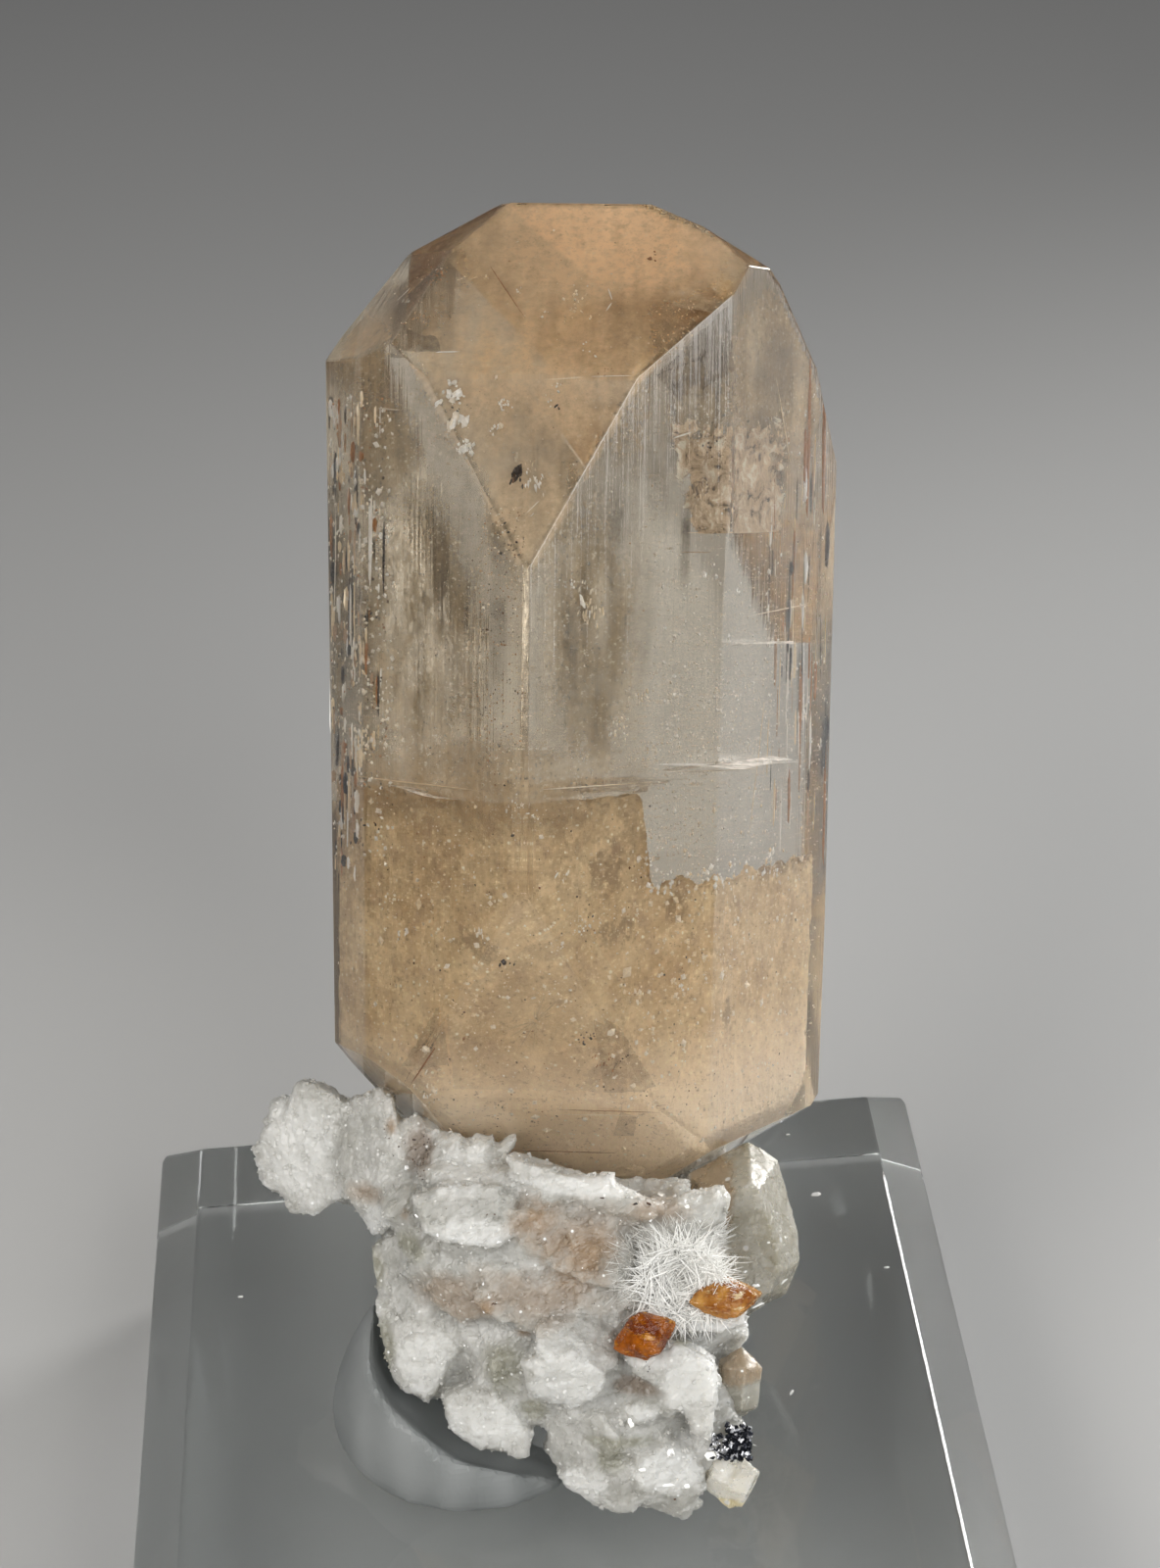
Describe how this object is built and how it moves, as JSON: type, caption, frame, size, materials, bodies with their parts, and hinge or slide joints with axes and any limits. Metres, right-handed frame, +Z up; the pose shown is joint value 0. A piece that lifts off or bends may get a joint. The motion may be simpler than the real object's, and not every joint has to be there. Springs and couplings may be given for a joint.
{
  "type": "mounted topaz crystal specimen",
  "caption": "Long peach topaz crystal leaning back on white bladed albite with garnet and quartz, propped with clear putty on a bevelled acrylic block.",
  "frame": {"origin": "middle of the display block's underside", "axes": "+Z up, +X to the right along the block's rear edge, +Y to the rear, where the crystal leans"},
  "size_m": [0.038, 0.0452, 0.0575],
  "materials": {
    "topaz": "clear peach crystal with internal veils and cleavage cracks, glossy faces",
    "albite": "sugary white feldspar blades with pinkish and tan stains",
    "quartz": "pale smoky, cloudy, glossy",
    "garnet": "orange, translucent, glossy",
    "fibre": "silky white fibres",
    "grain": "black with a metallic glitter",
    "putty": "cloudy, soft, satin",
    "acrylic": "clear, polished, bevelled upper edges"
  },
  "bodies": {
    "root": {"topaz_crystal": "topaz", "albite_matrix": "albite", "side_quartz": "quartz", "quartz_prism": "quartz", "quartz_chip": "quartz", "garnet_upper": "garnet", "garnet_lower": "garnet", "fibre_spray": "fibre", "dark_grains": "grain", "mounting_putty": "putty", "display_block": "acrylic"}
  },
  "joints": []
}
